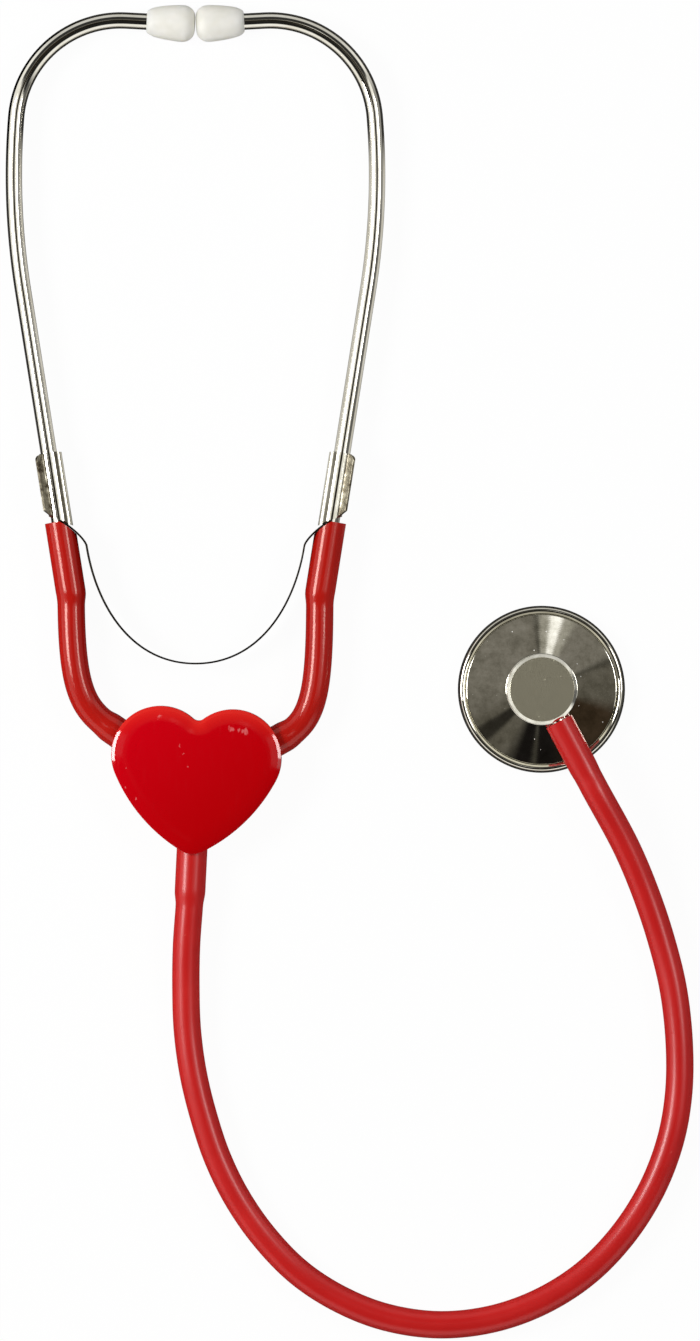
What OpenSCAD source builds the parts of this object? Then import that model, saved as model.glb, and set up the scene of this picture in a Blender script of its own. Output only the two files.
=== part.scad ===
// Toy stethoscope, lying flat on a table with its ear tips together.
// Millimetres. The origin is the middle of the heart's flat back, +Y runs up to
// the ear tips, +X runs towards the chestpiece and +Z stands up from the table.

/* [Ear tubes] */
// Outside diameter of an ear tube
ear_tube_d = 4.6; // [3.8:0.1:5.4]
// Wall of an ear tube
ear_tube_wall = 0.5; // [0.3:0.05:0.8]
// Straight stretch of an ear tube, from its lower end up
ear_straight = 86.5; // [75:0.5:100]
// Radius of the long gentle bend above the straight stretch
ear_sweep_r = 204; // [160:1:250]
// Angle of the long gentle bend
ear_sweep_angle = 13.6; // [11:0.1:16]
// Radius of the bend at the top
ear_bend_r = 29.3; // [25:0.1:33]
// Lean of the straight stretch away from the middle line
ear_lean = 9; // [8:0.1:11]
// Distance of an ear tube's lower end from the middle line
ear_foot_x = 34.8; // [32:0.1:38]
// Distance of an ear tube's lower end from the middle of the heart, along Y
ear_foot_y = 52; // [46:0.5:60]

/* [Ear tips] */
// Diameter of an ear tip at its belly
tip_d = 10.5; // [9:0.1:12]
// Diameter of an ear tip where the tube goes in
tip_base_d = 7; // [6.4:0.1:8]
// Length of an ear tip
tip_length = 13.5; // [11:0.1:16]
// Length of an ear tip's round nose
tip_nose = 2.4; // [1.6:0.1:4]
// Depth that the tube goes into an ear tip
tip_socket = 7.5; // [4:0.1:9]
// Sound hole through an ear tip's nose
tip_hole_d = 2.4; // [1.5:0.1:3.5]
// Gap left between the two noses
tip_gap = 0.3; // [0.2:0.1:4]
// Dip of the noses below level, towards the heart
tip_droop = 3; // [0:0.1:8]
// Gap left between the tips and the table
tip_lift = 0.25; // [0.1:0.05:2]

/* [Spring and clips] */
// Thickness of the clips' sheet
clip_sheet = 0.4; // [0.25:0.05:0.7]
// Length of a clip along its ear tube
clip_length = 20.6; // [14:0.1:26]
// Distance of a clip from the lower end of its ear tube
clip_at = 19.5; // [15:0.1:26]
// How much shorter a clip is on its outer side
clip_slant = 2.9; // [0:0.1:4]
// Distance of the flange's edge from the middle of the tube
flange_reach = 5.3; // [4.2:0.1:7]
// Start of the flange's full width, from the clip's lower end
flange_low = 4.8; // [3:0.1:7]
// Radius of the flange's upper corner
flange_corner = 1.6; // [0.5:0.1:2.2]
// Turn of the flange up from the table, about the tube
flange_roll = 45; // [0:1:70]
// Thickness of the folded strip along a clip's inner side
spine_t = 0.8; // [0.4:0.05:1.5]
// How much lower the strip and the flange end than the sleeve
clip_step = 0.3; // [0.1:0.1:1]
// Thickness of the leaf spring
leaf_t = 0.5; // [0.3:0.05:1]
// Width of the leaf spring, out of the table's plane
leaf_w = 6; // [3:0.1:8]
// Gap between the leaf spring and the hose beside it
leaf_gap = 2.2; // [0.8:0.1:4]
// Angle of the spring's shoulder over the hose end, from the tube's line
leaf_shoulder = 38; // [25:1:55]
// Length along the tube that the shoulder takes
leaf_shoulder_run = 6.8; // [5:0.1:9]
// Place of the spring's lowest point along Y
leaf_bottom_y = 32.6; // [26:0.1:38]

/* [Hoses] */
// Outside diameter of the hose where nothing stretches it
hose_d = 7.7; // [7:0.1:8.4]
// Bore of the hose where nothing stretches it
hose_bore = 3.2; // [2.4:0.1:4]
// Length over which a stretched hose narrows again
hose_neck = 4; // [3:0.1:6]
// Pull of a short hose's bow at the ear tube, which it leaves straight along Y
hose_bow_top = 27; // [22:0.5:30]
// Pull of a short hose's bow at the heart
hose_bow_low = 9.7; // [7:0.1:13]

/* [Heart] */
// Radius of the heart's two lobes
lobe_r = 13.7; // [12:0.1:15]
// Distance of a lobe's centre from the heart's own middle line
lobe_x = 10.1; // [8:0.1:12]
// Distance of the lobes' centres up from the middle of the heart
lobe_y = 6.6; // [5:0.1:9]
// Radius of the heart's tip
point_r = 6; // [5.5:0.1:8]
// Distance of the tip's centre down from the middle of the heart
point_y = 14.7; // [12:0.1:18]
// Radius of the flanks between the lobes and the tip
flank_r = 46; // [36:0.5:70]
// Radius of the round in the notch
notch_r = 2.3; // [1.5:0.1:4]
// Height of the front half above the joint between the halves
heart_front_h = 7; // [6.5:0.1:10]
// Round of the front's rim
heart_round = 1.2; // [0.8:0.1:2]
// Slope of the front's face where it leaves that round
crown_slope = 14; // [8:1:20]
// Width over which the face flattens
crown_w = 4.4; // [3:0.1:4.6]
// Height of the step round the back's rim
heart_step_h = 0.8; // [0.4:0.1:1.2]
// Width of the step round the back's rim
heart_step_w = 0.6; // [0.2:0.1:1]
// Wall of both halves
heart_wall = 1.5; // [1:0.1:2]
// Diameter of the pegs that hold the halves together
peg_d = 3; // [2:0.1:4]
// Depth that the pegs go into the back half
peg_h = 3; // [2:0.1:3.5]
// Turn of the heart as it lies
heart_turn = -2.8; // [-4:0.1:4]

/* [Y connector] */
// Outside diameter of the nipples
nipple_d = 5; // [4.4:0.1:5.6]
// Bore of the nipples
nipple_bore = 2.6; // [1.6:0.1:3.2]
// Diameter of the barrel where the arms meet
barrel_d = 8; // [7:0.1:10]
// Height of the barrel
barrel_h = 6.6; // [6:0.1:8]
// How much wider than the bores the room in the barrel is, all round
room_step = 0.4; // [0.2:0.1:0.7]
// Length of the two upper arms from where they meet
arm_length = 28.5; // [27.5:0.1:31]
// Length of the lower arm from where they meet
outlet_length = 29.5; // [26:0.1:34]
// Angle of the upper arms above the heart's cross line
arm_angle = 31.8; // [28:0.1:36]
// Distance of the meeting point down from the middle of the heart
arms_y = 1.7; // [0:0.1:4]
// Distance from the meeting point to the hose ends
hose_stop = 11; // [9:0.1:14]

/* [Chestpiece] */
// Place of the chestpiece's centre along X
chest_x = 96.9; // [90:0.1:104]
// Place of the chestpiece's centre along Y
chest_y = 25.4; // [18:0.1:32]
// Direction of the stem from the centre, about Z
stem_angle = -62; // [-68:1:-56]
// Outside diameter of the ring
ring_d = 46.8; // [42:0.1:52]
// Height of the ring
ring_h = 4.6; // [3.6:0.1:5.2]
// Width of the ring seen from above
ring_w = 2.2; // [1.4:0.1:3]
// Thickness of the ring's lip under the diaphragm
ring_lip_t = 0.8; // [0.5:0.05:1.2]
// Width of the lip under the diaphragm
ring_lip_w = 1.8; // [1:0.1:3]
// Thickness of the diaphragm
diaphragm_t = 0.35; // [0.2:0.05:0.6]
// Height of the bell's sloping face at its edge
bell_edge_h = 4; // [3.2:0.1:4.6]
// Height of the bell's sloping face at the boss
bell_top_h = 5; // [4.6:0.1:6]
// Width of the bell's foot on the diaphragm
bell_foot_w = 2.6; // [1.5:0.1:4]
// Depth of the bell's hollow
bell_depth = 3.2; // [2:0.1:3.6]
// Diameter of the boss
boss_d = 19.6; // [17:0.1:23]
// Height of the boss's top
boss_h = 15; // [14.6:0.1:18]
// Bevel round the boss's top
boss_bevel = 0.9; // [0.3:0.1:1.2]
// Bevel round the bell's sloping face
bell_bevel = 0.45; // [0.2:0.05:0.8]
// Outside diameter of the stem
stem_d = 4; // [3.8:0.1:5]
// Bore of the stem and of the way down to the bell
stem_bore = 2.6; // [1.6:0.1:3.2]
// Height of the stem's axis
stem_h = 11; // [10.9:0.1:11.5]
// Distance of the stem's inner end from the centre
stem_in = 3; // [2.5:0.1:5]
// Distance of the stem's outer end from the centre
stem_out = 24; // [20:0.1:26]
// Gap between the hose end and the boss
hose_end_gap = 0.4; // [0.2:0.1:2]

/* [Hidden] */
$fn = 48;
hose_sides = 12;
notch_steps = 4;
lobe_steps = 24;
flank_steps = 6;
point_steps = 5;
rim_steps = 4;
bend_facets = 240;
fit = 0.05;         // radial clearance of what turns, slides on or is pushed in
hose_cut_gap = 0.2; // gap between the spring's shoulder and the hose end under it
past = 1;           // overrun of cutters
seam_step = 0.03;   // step in an ear tube's wall where two of its stretches meet
seam_tuck = 0.5;    // length that one stretch reaches into the next
end_pull = 0.5;     // how far the spring keeps its direction at a clip, as a share of the way
bottom_pull = 0.6;  // how far it keeps its direction at its lowest point
left = -1;
right = 1;

// Places of the pegs on the right of the heart's own middle line
peg_places = [[6.5, 12.8], [10.5, -6.6]];

// Height of the ear tubes, the hose ends and the joint between the heart's halves
plane_z = tip_d / 2 + tip_lift;

// The main hose as it lies: X, Y and how far it is held up off the table
main_route = [
    [-2.5, -46, 1.1], [-2.7, -58, 0.4], [-2.3, -70, 0], [-0.7, -82, 0], [2.2, -94, 0],
    [6.2, -106, 0], [11.9, -117.5, 0], [19.5, -128.3, 0], [29, -138, 0], [40.2, -145.3, 0],
    [53, -150.4, 0], [68, -152.6, 0], [83, -151, 0], [97, -146, 0], [109.6, -137.9, 0],
    [120, -127, 0], [127.9, -114.4, 0], [133, -101, 0], [135.3, -88, 0], [135.5, -74, 0],
    [133.8, -58.5, 0], [130.2, -44, 0.3], [125.8, -31, 1.4], [120.5, -18.6, 3.6]];

// Diameter of the hose where it is stretched over a fitting: its material keeps its section
function stretched(fitting_d) = sqrt(pow(hose_d, 2) - pow(hose_bore, 2) + pow(fitting_d, 2));

function unit(v) = v / norm(v);
function ray(angle) = [cos(angle), sin(angle)];
function along(angle) = [cos(angle), sin(angle), 0];
function turned(p, angle) =
    [p.x * cos(angle) - p.y * sin(angle), p.x * sin(angle) + p.y * cos(angle), p.z];
function bezier(p, t) =
    pow(1 - t, 3) * p[0] + 3 * t * pow(1 - t, 2) * p[1] + 3 * t * t * (1 - t) * p[2] + pow(t, 3) * p[3];

// An ear tube's bends in its own plane: it starts at the origin, runs up +Y and turns to +X
ear_bend_angle = 90 + ear_lean + tip_droop - ear_sweep_angle;
ear_turn_total = ear_sweep_angle + ear_bend_angle;
ear_sweep_end = [ear_sweep_r * (1 - cos(ear_sweep_angle)),
                 ear_straight + ear_sweep_r * sin(ear_sweep_angle), 0];
ear_bend_centre = ear_sweep_end + ear_bend_r * along(-ear_sweep_angle);
ear_bend_end = ear_bend_centre + ear_bend_r * along(180 - ear_turn_total);
// The top run is as long as it takes to bring the nose to the middle line
ear_nose_reach = (ear_foot_x - turned(ear_bend_end, ear_lean).x - tip_gap / 2) / cos(tip_droop);
ear_top_bare = ear_nose_reach - tip_length;

// Where the left ear tube lies: a place on its lower line, and the ways up and inwards
ear_up = along(90 + ear_lean);
ear_in = along(ear_lean);
function on_ear_line(distance, inwards = 0) =
    [-ear_foot_x, ear_foot_y, plane_z] + distance * ear_up + inwards * ear_in;

sleeve_r = ear_tube_d / 2 + fit + clip_sheet;
spine_reach = sleeve_r + spine_t;

// Half of the leaf spring's line, from the left clip to its lowest point
shoulder_way = along(ear_lean - 90 + leaf_shoulder);
shoulder_top = on_ear_line(clip_at - fit, sleeve_r + spine_t / 2);
flank_top = on_ear_line(clip_at - leaf_shoulder_run, stretched(ear_tube_d) / 2 + leaf_gap);
leaf_bottom = [0, leaf_bottom_y, plane_z];
flank_drop = flank_top.y - leaf_bottom.y;
shoulder_curve = [shoulder_top, shoulder_top + end_pull * leaf_shoulder_run * shoulder_way,
                  flank_top + end_pull * leaf_shoulder_run * ear_up, flank_top];
flank_curve = [flank_top, flank_top - end_pull * flank_drop * ear_up,
               leaf_bottom + bottom_pull * [flank_top.x, 0, 0], leaf_bottom];
leaf_half = concat([for (t = [0 : 0.125 : 0.99]) bezier(shoulder_curve, t)],
                   [for (t = [0 : 0.05 : 0.99]) bezier(flank_curve, t)]);
leaf_line = concat(leaf_half, [leaf_bottom],
                   [for (i = [len(leaf_half) - 1 : -1 : 0]) [-leaf_half[i].x, leaf_half[i].y, plane_z]]);

// Places on the Y connector's arms, which turn with the heart
arms_meet = turned([0, -arms_y, plane_z], heart_turn);
function arm_way(side) = along(heart_turn + 90 - side * (90 - arm_angle));
function on_arm(side, distance) = arms_meet + distance * arm_way(side);
function on_outlet(distance) = arms_meet + distance * along(heart_turn - 90);
function on_stem(distance) = [chest_x, chest_y, stem_h] + distance * along(stem_angle);

// A hose is a list of rings: a centre, and the fitting inside it there or 0
function mirrored(p, side) = [-side * p.x, p.y, p.z];
function short_curve(side) =
    [on_arm(side, arm_length), on_arm(side, arm_length + hose_bow_low),
     mirrored(on_ear_line(0) - [0, hose_bow_top, 0], side), mirrored(on_ear_line(0), side)];
function short_rings(side) = concat(
    [[on_arm(side, hose_stop), nipple_d], [on_arm(side, arm_length), nipple_d]],
    [for (t = [0.1 : 0.1 : 0.9]) [bezier(short_curve(side), t), 0]],
    [[mirrored(on_ear_line(0), side), ear_tube_d],
     [mirrored(on_ear_line(clip_at - fit), side), ear_tube_d]]);
main_rings = concat(
    [[on_outlet(hose_stop), nipple_d], [on_outlet(outlet_length), nipple_d],
     [on_outlet(outlet_length + hose_neck), 0]],
    [for (p = main_route) [[p.x, p.y, p.z + hose_d / 2], 0]],
    [[on_stem(stem_out + 2 * hose_neck), 0], [on_stem(stem_out + hose_neck), 0],
     [on_stem(stem_out), stem_d], [on_stem(boss_d / 2 + hose_end_gap), stem_d]]);

function ring_points(centre, way, r) =
    let (across = unit(cross(way, [0, 0, 1])), up = cross(across, way))
    [for (i = [0 : hose_sides - 1])
        centre + r * (cos(360 * i / hose_sides) * across + sin(360 * i / hose_sides) * up)];
function outer_r(fitting) = (fitting > 0 ? stretched(fitting) : hose_d) / 2;
function inner_r(fitting) = (fitting > 0 ? fitting / 2 + fit : hose_bore / 2) / cos(180 / hose_sides);

// Hollow tube through a list of rings
module hose(rings) {
    count = len(rings);
    ways = [for (i = [0 : count - 1])
        unit(rings[min(i + 1, count - 1)][0] - rings[max(i - 1, 0)][0])];
    outside = [for (i = [0 : count - 1])
        each ring_points(rings[i][0], ways[i], outer_r(rings[i][1]))];
    inside = [for (i = [0 : count - 1])
        each ring_points(rings[i][0], ways[i], inner_r(rings[i][1]))];
    inner = count * hose_sides;
    last = (count - 1) * hose_sides;
    walls = [for (i = [0 : count - 2], j = [0 : hose_sides - 1])
        let (a = i * hose_sides + j, b = i * hose_sides + (j + 1) % hose_sides,
             c = a + hose_sides, d = b + hose_sides)
        each [[a, b, d], [a, d, c], [inner + a, inner + d, inner + b], [inner + a, inner + c, inner + d]]];
    ends = [for (j = [0 : hose_sides - 1])
        let (k = (j + 1) % hose_sides)
        each [[j, inner + j, inner + k], [j, inner + k, k],
              [last + j, inner + last + k, inner + last + j], [last + j, last + k, inner + last + k]]];
    polyhedron(points = concat(outside, inside), faces = concat(walls, ends));
}

// Left-hand parts as drawn, right-hand ones as their mirror image
module on_side(side) {
    mirror([side == right ? 1 : 0, 0, 0]) children();
}

// From an ear tube's own plane to where the left one lies
module on_left_ear() {
    translate([-ear_foot_x, ear_foot_y, plane_z]) rotate([0, 0, ear_lean]) children();
}

// An ear tube's section at a distance, with its wall drawn in from both sides by step
module ear_section(distance, step) {
    translate([distance, 0]) difference() {
        circle(d = ear_tube_d - 2 * step);
        circle(d = ear_tube_d - 2 * ear_tube_wall + 2 * step);
    }
}

module ear_run(length, step) {
    rotate([-90, 0, 0]) linear_extrude(length) ear_section(0, step);
}

// A bend of an ear tube that ends at an angle, longer at both ends by tuck
module ear_bend(r, end_angle, angle, step, tuck) {
    spare = tuck / r * 180 / PI;
    rotate([0, 0, end_angle - spare])
        rotate_extrude(angle = angle + 2 * spare, $fn = bend_facets) ear_section(r, step);
}

// Each second stretch is tucked into the ends of its neighbours
module ear_tube(side) {
    color("#c9c7bb") on_side(side) on_left_ear() {
        ear_run(ear_straight, 0);
        translate([ear_sweep_r, ear_straight, 0])
            ear_bend(ear_sweep_r, 180 - ear_sweep_angle, ear_sweep_angle, seam_step, seam_tuck);
        translate(ear_bend_centre)
            ear_bend(ear_bend_r, 180 - ear_turn_total, ear_bend_angle, 0, 0);
        translate(ear_bend_end) rotate([0, 0, -ear_turn_total]) translate([0, -seam_tuck, 0])
            ear_run(ear_top_bare + tip_socket + seam_tuck, seam_step);
    }
}

module ear_tip(side) {
    belly = tip_length - tip_nose;
    nose = [for (a = [0 : 10 : 80]) [tip_d / 2 * cos(a), belly + tip_nose * sin(a)]];
    color("#e9e6da") on_side(side) on_left_ear()
        translate(ear_bend_end) rotate([-90, 0, -ear_turn_total]) translate([0, 0, ear_top_bare])
            difference() {
                rotate_extrude()
                    polygon(concat([[0, 0], [tip_base_d / 2, 0]], nose, [[0, tip_length]]));
                translate([0, 0, -past]) cylinder(d = ear_tube_d + 2 * fit, h = tip_socket + past);
                cylinder(d = tip_hole_d, h = tip_length + past);
            }
}

// Flat outline of a clip's flange: X is the distance from the tube, Y runs up the clip
module flange_outline() {
    top = clip_length - clip_step;
    corner = [flange_reach - flange_corner, top - flange_corner];
    polygon(concat([[ear_tube_d / 2, clip_slant], [sleeve_r, clip_slant], [flange_reach, flange_low]],
                   [for (a = [0 : 15 : 90]) corner + flange_corner * [cos(a), sin(a)]],
                   [[ear_tube_d / 2, top]]));
}

module spring_clip(side) {
    slant_angle = atan2(clip_slant, sleeve_r + spine_reach);
    far = clip_length + flange_reach;
    color("#b4b1a2") on_side(side) on_left_ear() translate([0, clip_at, 0]) difference() {
        union() {
            rotate([-90, 0, 0]) translate([0, 0, -past]) cylinder(r = sleeve_r, h = clip_length + past);
            translate([0, -past, -ear_tube_d / 2])
                cube([spine_reach, clip_length - clip_step + past, ear_tube_d]);
            rotate([0, 180 + flange_roll, 0])
                translate([0, 0, -clip_sheet]) linear_extrude(2 * clip_sheet) flange_outline();
        }
        rotate([-90, 0, 0]) translate([0, 0, -past])
            cylinder(d = ear_tube_d + 2 * fit, h = clip_length + 2 * past);
        translate([spine_reach, 0, 0]) rotate([0, 0, -slant_angle])
            translate([-far, -far, -far]) cube([2 * far, far, 2 * far]);
    }
}

module leaf_spring() {
    count = len(leaf_line);
    normals = [for (i = [0 : count - 1])
        let (way = unit(leaf_line[min(i + 1, count - 1)] - leaf_line[max(i - 1, 0)])) [-way.y, way.x]];
    function side_point(i, offset) = [leaf_line[i].x, leaf_line[i].y] + offset * normals[i];
    color("#55524a") translate([0, 0, plane_z - leaf_w / 2]) linear_extrude(leaf_w)
        polygon(concat([for (i = [0 : count - 1]) side_point(i, leaf_t / 2)],
                       [for (i = [count - 1 : -1 : 0]) side_point(i, -leaf_t / 2)]));
}

module short_hose(side) {
    far = 2 * clip_at;
    color("#b3221f") difference() {
        hose(short_rings(side));
        on_side(side) translate(shoulder_top)
            rotate([0, 0, ear_lean - 90 + leaf_shoulder])
                translate([-far / 2, -leaf_t / 2 - hose_cut_gap, -far / 2]) cube([far, far, far]);
    }
}

module main_hose() {
    color("#b3221f") hose(main_rings);
}

// Centres of the arcs in the right half of the heart's outline, which run into each other
lobe = [lobe_x, lobe_y];
point = [0, -point_y];
notch = [0, lobe_y + sqrt(pow(notch_r + lobe_r, 2) - pow(lobe_x, 2))];
heart_span = norm(point - lobe);
flank_near = (pow(flank_r - lobe_r, 2) - pow(flank_r - point_r, 2) + pow(heart_span, 2)) / (2 * heart_span);
flank_aside = sqrt(pow(flank_r - lobe_r, 2) - pow(flank_near, 2));
span_way = (point - lobe) / heart_span;
flank = lobe + flank_near * span_way + flank_aside * [span_way.y, -span_way.x];

// Points of that outline, drawn in by inset, from the notch round by the right lobe
function angle_of(v) = atan2(v.y, v.x);
function arc_points(centre, r, from, to, steps) =
    [for (i = [1 : steps]) centre + r * ray(from + (to - from) * i / steps)];
function heart_half(inset) = concat(
    [notch - [0, notch_r + inset]],
    arc_points(notch, notch_r + inset, -90, angle_of(lobe - notch), notch_steps),
    arc_points(lobe, lobe_r - inset, angle_of(notch - lobe), angle_of(lobe - flank), lobe_steps),
    arc_points(flank, flank_r - inset, angle_of(lobe - flank), angle_of(point - flank), flank_steps),
    arc_points(point, point_r - inset, angle_of(point - flank), -90, point_steps));
function heart_loop(inset) =
    let (half = heart_half(inset))
    concat(half, [for (i = [len(half) - 2 : -1 : 1]) [-half[i].x, half[i].y]]);

module heart_outline(inset) {
    polygon(heart_loop(inset));
}

// Rounded solid through slices of the heart, each a height and an inset, closed by a flat top
module heart_solid(slices) {
    loops = [for (s = slices) [for (p = heart_loop(s[1])) [p.x, p.y, s[0]]]];
    around = len(loops[0]);
    count = len(loops);
    points = concat([for (loop = loops) each loop], [[0, 0, slices[0][0]], [0, 0, slices[count - 1][0]]]);
    under = count * around;
    walls = [for (i = [0 : count - 2], j = [0 : around - 1])
        let (a = i * around + j, b = i * around + (j + 1) % around)
        each [[a, b, b + around], [a, b + around, a + around]]];
    caps = [for (j = [0 : around - 1])
        let (k = (j + 1) % around, last = (count - 1) * around)
        each [[k, j, under], [last + j, last + k, under + 1]]];
    polyhedron(points = points, faces = concat(walls, caps));
}

module heart_pegs(d, low, high) {
    for (side = [left, right], place = peg_places)
        translate([side * place.x, place.y, low]) cylinder(d = d, h = high - low);
}

// The ways for the hoses through the heart's rim
module heart_channels() {
    bore = stretched(nipple_d) + 2 * fit;
    way_in = hose_stop - past;
    way_out = arm_length + hose_neck;
    for (angle = [arm_angle, 180 - arm_angle, -90])
        translate([0, -arms_y, plane_z]) rotate([0, 90, angle])
            translate([0, 0, way_in]) cylinder(d = bore, h = way_out - way_in);
}

module heart_front() {
    top = plane_z + heart_front_h;
    crown_h = crown_w * tan(crown_slope) / 2;
    flat = top - crown_h;
    rim_end = 90 - crown_slope;
    shoulder = flat - heart_round * sin(rim_end);
    rim = [for (a = [0 : rim_end / rim_steps : rim_end])
        [shoulder + heart_round * sin(a), heart_round * (1 - cos(a))]];
    crown = [for (u = [0.25 : 0.25 : 1])
        [top - crown_h * pow(1 - u, 2), heart_round * (1 - cos(rim_end)) + u * crown_w]];
    color("#c8000f") rotate([0, 0, heart_turn]) difference() {
        union() {
            difference() {
                heart_solid(concat([[plane_z, 0]], rim, crown));
                translate([0, 0, plane_z - past]) linear_extrude(flat - heart_wall - plane_z + past)
                    heart_outline(heart_round / 2 + heart_wall);
            }
            heart_pegs(peg_d, plane_z - peg_h, flat);
        }
        heart_channels();
    }
}

module heart_back() {
    color("#b8000e") rotate([0, 0, heart_turn]) difference() {
        union() {
            difference() {
                union() {
                    translate([0, 0, heart_step_h]) linear_extrude(plane_z - heart_step_h) heart_outline(0);
                    linear_extrude(heart_step_h + heart_wall / 2) heart_outline(heart_step_w);
                }
                translate([0, 0, heart_wall]) linear_extrude(plane_z)
                    heart_outline(heart_step_w + heart_wall);
            }
            heart_pegs(peg_d + 2 * heart_wall, heart_wall / 2, plane_z);
        }
        heart_pegs(peg_d + 2 * fit, plane_z - peg_h - fit, plane_z + past);
        heart_channels();
    }
}

module y_connector() {
    arms = [[arm_angle, arm_length], [180 - arm_angle, arm_length], [-90, outlet_length]];
    room_d = nipple_bore + 2 * room_step;
    color("#d9d6cb") rotate([0, 0, heart_turn]) translate([0, -arms_y, plane_z]) difference() {
        union() {
            cylinder(d = barrel_d, h = barrel_h, center = true);
            for (arm = arms) rotate([0, 90, arm[0]]) cylinder(d = nipple_d, h = arm[1]);
        }
        cylinder(d = room_d, h = room_d, center = true);
        for (arm = arms) rotate([0, 90, arm[0]]) cylinder(d = nipple_bore, h = arm[1] + past);
    }
}

ring_r = ring_d / 2;
rim_r = ring_r - ring_w;
bell_base_h = ring_lip_t + diaphragm_t;

module on_chest() {
    translate([chest_x, chest_y, 0]) rotate([0, 0, stem_angle]) children();
}

module chestpiece_body() {
    color("#8f8c80") on_chest() difference() {
        rotate_extrude() polygon([
            [0, bell_base_h + bell_depth], [stem_bore, bell_base_h + bell_depth],
            [rim_r - bell_foot_w, bell_base_h], [rim_r, bell_base_h], [rim_r, bell_edge_h - bell_bevel],
            [rim_r - bell_bevel, bell_edge_h], [boss_d / 2, bell_top_h], [boss_d / 2, boss_h - boss_bevel],
            [boss_d / 2 - boss_bevel, boss_h], [0, boss_h]]);
        translate([0, 0, bell_base_h]) cylinder(d = stem_bore, h = stem_h - bell_base_h);
        translate([0, 0, stem_h]) rotate([0, 90, 0]) cylinder(d = stem_bore, h = boss_d / 2);
        translate([stem_in, 0, stem_h]) rotate([0, 90, 0]) cylinder(d = stem_d + 2 * fit, h = boss_d / 2);
    }
}

module chestpiece_stem() {
    color("#c9c7bb") on_chest() translate([stem_in, 0, stem_h]) rotate([0, 90, 0]) difference() {
        cylinder(d = stem_d, h = stem_out - stem_in);
        translate([0, 0, -past]) cylinder(d = stem_bore, h = stem_out - stem_in + 2 * past);
    }
}

module diaphragm() {
    color("#e4e2da") translate([chest_x, chest_y, ring_lip_t]) cylinder(r = rim_r - fit, h = diaphragm_t);
}

module diaphragm_ring() {
    inner = rim_r + fit;
    bead = (ring_r - inner) / 2;
    foot = bead / 2;
    color("#a5a296") translate([chest_x, chest_y, 0]) rotate_extrude() polygon(concat(
        [[rim_r - ring_lip_w, 0], [ring_r - foot, 0], [ring_r, foot]],
        [for (a = [0 : 15 : 180]) [ring_r - bead + bead * cos(a), ring_h - bead + bead * sin(a)]],
        [[inner, ring_lip_t], [rim_r - ring_lip_w, ring_lip_t]]));
}

ear_tip(left);  // left_ear_tip
ear_tip(right);  // right_ear_tip
ear_tube(left);  // left_ear_tube
ear_tube(right);  // right_ear_tube
spring_clip(left);  // left_spring_clip
spring_clip(right);  // right_spring_clip
leaf_spring();
short_hose(left);  // left_short_hose
short_hose(right);  // right_short_hose
main_hose();
heart_front();
heart_back();
y_connector();
chestpiece_body();
chestpiece_stem();
diaphragm();
diaphragm_ring();
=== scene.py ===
# Toy stethoscope on a white table, seen straight from above.
# Sizes in the dictionaries are in millimetres and degrees; the meshes are in metres.
import math

import bmesh
import bpy
import numpy as np
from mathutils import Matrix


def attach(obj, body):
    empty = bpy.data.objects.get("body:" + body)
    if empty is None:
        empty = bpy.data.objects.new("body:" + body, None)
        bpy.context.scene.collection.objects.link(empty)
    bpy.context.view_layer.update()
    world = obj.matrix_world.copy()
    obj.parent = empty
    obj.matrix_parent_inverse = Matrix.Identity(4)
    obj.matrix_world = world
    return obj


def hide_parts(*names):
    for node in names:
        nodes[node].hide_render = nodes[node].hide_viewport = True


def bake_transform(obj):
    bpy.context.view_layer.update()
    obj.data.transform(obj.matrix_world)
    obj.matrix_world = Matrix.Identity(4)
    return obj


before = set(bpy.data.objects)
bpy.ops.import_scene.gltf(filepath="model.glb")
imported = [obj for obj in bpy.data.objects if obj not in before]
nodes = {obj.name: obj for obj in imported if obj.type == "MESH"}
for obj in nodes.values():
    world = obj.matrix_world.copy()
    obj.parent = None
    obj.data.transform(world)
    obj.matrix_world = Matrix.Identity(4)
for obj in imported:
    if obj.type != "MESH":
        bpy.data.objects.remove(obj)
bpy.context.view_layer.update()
scene = bpy.context.scene
print("frame loaded,", len(nodes), "nodes")


# lines and places

bothSides = ("left", "right")
upward = np.array([0, 0, 1.0])
mirrored = np.array([-1, 1, 1])


def ray(angle):
    return np.array([math.cos(math.radians(angle)), math.sin(math.radians(angle)), 0.0])


def turned(point, angle):
    c, s = math.cos(math.radians(angle)), math.sin(math.radians(angle))
    x, y, z = point
    return np.array([c * x - s * y, s * x + c * y, z])


def sided(points, side):  # left as written, right as its mirror image
    return np.asarray(points, float) * (1 if side == "left" else mirrored)


def ease(t):
    t = np.clip(t, 0, 1)
    return t * t * (3 - 2 * t)


def bezierLine(p, count):
    t = np.linspace(0, 1, count)[:, None]
    s = 1 - t
    return list(s ** 3 * p[0] + 3 * t * s ** 2 * p[1] + 3 * t * t * s * p[2] + t ** 3 * p[3])


def lengthsAlong(line):
    steps = np.linalg.norm(np.diff(line, axis=0), axis=1)
    return np.concatenate([[0], np.cumsum(steps)])


def evenLine(line, spacing):  # the same line with points at even steps
    line = np.asarray(line, float)
    run = lengthsAlong(line)
    places = np.linspace(0, run[-1], max(2, int(round(run[-1] / spacing)) + 1))
    return np.stack([np.interp(places, run, line[:, k]) for k in range(3)], axis=1)


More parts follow.
